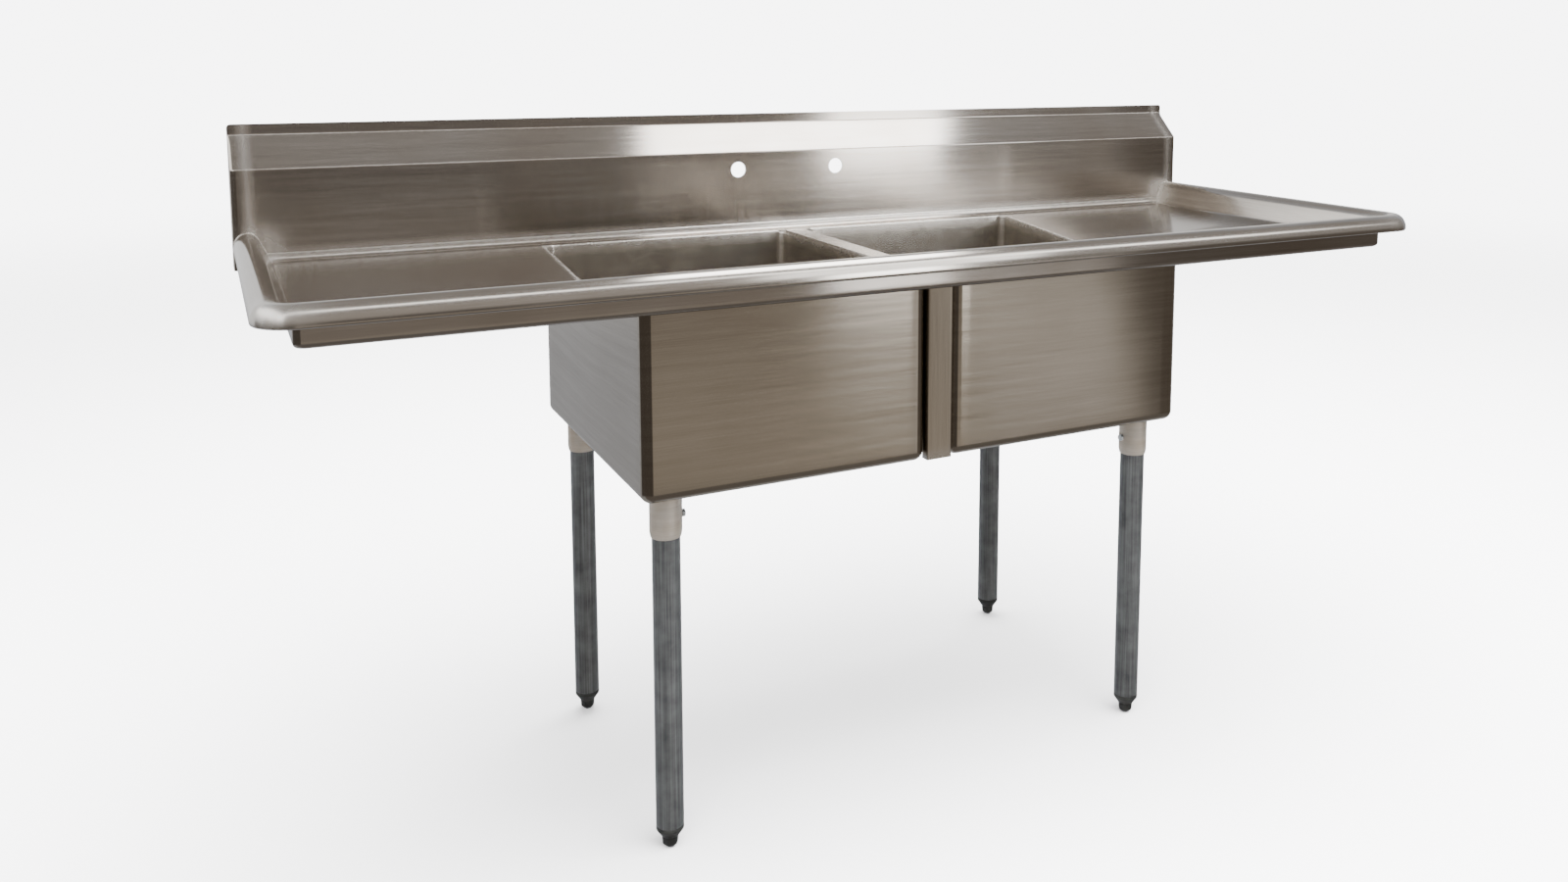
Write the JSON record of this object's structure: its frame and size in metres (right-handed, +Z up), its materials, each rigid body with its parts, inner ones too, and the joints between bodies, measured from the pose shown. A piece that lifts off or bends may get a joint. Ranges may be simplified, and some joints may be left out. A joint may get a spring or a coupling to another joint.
{
  "type": "compartment sink",
  "caption": "Stainless steel scullery sink with deep bowls side by side, a drainboard at each end, a backsplash and tubular legs on adjustable feet.",
  "frame": {"origin": "on the floor under the middle of the bounding box", "axes": "+X along the sink to the right seen from the front, +Y towards the wall, +Z up"},
  "size_m": [1.915, 0.719, 1.056],
  "materials": {
    "brushed_stainless": "brushed sheet, grain along the sink",
    "ground_stainless": "rolled rim with ground and buffed corner welds",
    "polished_stainless": "pressed and polished drain fittings",
    "galvanised_steel": "galvanised tube, dull blue-grey",
    "black_plastic": "moulded black plastic",
    "black_rubber": "matte black rubber"
  },
  "bodies": {
    "sink": {"apron_skirt": "brushed_stainless", "backsplash_end_left": "brushed_stainless", "backsplash_end_right": "brushed_stainless", "backsplash_panel": "brushed_stainless", "bowl_left": "brushed_stainless", "bowl_right": "brushed_stainless", "divider_cap": "brushed_stainless", "drain_body_left": "polished_stainless", "drain_body_right": "polished_stainless", "drain_gasket_left": "black_rubber", "drain_gasket_right": "black_rubber", "drain_locknut_left": "black_plastic", "drain_locknut_right": "black_plastic", "drainboard_channel_left": "brushed_stainless", "drainboard_channel_right": "brushed_stainless", "drainboard_left": "brushed_stainless", "drainboard_right": "brushed_stainless", "foot_insert_front_left": "black_plastic", "foot_insert_front_right": "black_plastic", "foot_insert_rear_left": "black_plastic", "foot_insert_rear_right": "black_plastic", "front_filler_strip": "brushed_stainless", "front_ledge": "brushed_stainless", "leg_gusset_front_left": "brushed_stainless", "leg_gusset_front_right": "brushed_stainless", "leg_gusset_rear_left": "brushed_stainless", "leg_gusset_rear_right": "brushed_stainless", "leg_socket_front_left": "brushed_stainless", "leg_socket_front_right": "brushed_stainless", "leg_socket_rear_left": "brushed_stainless", "leg_socket_rear_right": "brushed_stainless", "leg_tube_front_left": "galvanised_steel", "leg_tube_front_right": "galvanised_steel", "leg_tube_rear_left": "galvanised_steel", "leg_tube_rear_right": "galvanised_steel", "rear_deck": "brushed_stainless", "rear_filler_strip": "brushed_stainless", "rolled_rim": "ground_stainless", "socket_screw_front_left": "galvanised_steel", "socket_screw_front_right": "galvanised_steel", "socket_screw_rear_left": "galvanised_steel", "socket_screw_rear_right": "galvanised_steel"},
    "foot_front_left": {"bullet_foot_front_left": "black_plastic"},
    "foot_front_right": {"bullet_foot_front_right": "black_plastic"},
    "foot_rear_left": {"bullet_foot_rear_left": "black_plastic"},
    "foot_rear_right": {"bullet_foot_rear_right": "black_plastic"},
    "strainer_left": {"strainer_basket_left": "polished_stainless", "strainer_seal_left": "black_rubber", "strainer_post_left": "polished_stainless"},
    "strainer_right": {"strainer_basket_right": "polished_stainless", "strainer_seal_right": "black_rubber", "strainer_post_right": "polished_stainless"}
  },
  "joints": [
    {"name": "foot_front_left_screw", "type": "slide", "parent": "sink", "child": "foot_front_left", "axis": [0, 0, -1], "range_m": [0, 0.025]},
    {"name": "foot_front_right_screw", "type": "slide", "parent": "sink", "child": "foot_front_right", "axis": [0, 0, -1], "range_m": [0, 0.025]},
    {"name": "foot_rear_left_screw", "type": "slide", "parent": "sink", "child": "foot_rear_left", "axis": [0, 0, -1], "range_m": [0, 0.025]},
    {"name": "foot_rear_right_screw", "type": "slide", "parent": "sink", "child": "foot_rear_right", "axis": [0, 0, -1], "range_m": [0, 0.025]},
    {"name": "strainer_left_lift", "type": "slide", "parent": "sink", "child": "strainer_left", "axis": [0, 0, 1], "range_m": [0, 0.36]},
    {"name": "strainer_right_lift", "type": "slide", "parent": "sink", "child": "strainer_right", "axis": [0, 0, 1], "range_m": [0, 0.36]}
  ]
}
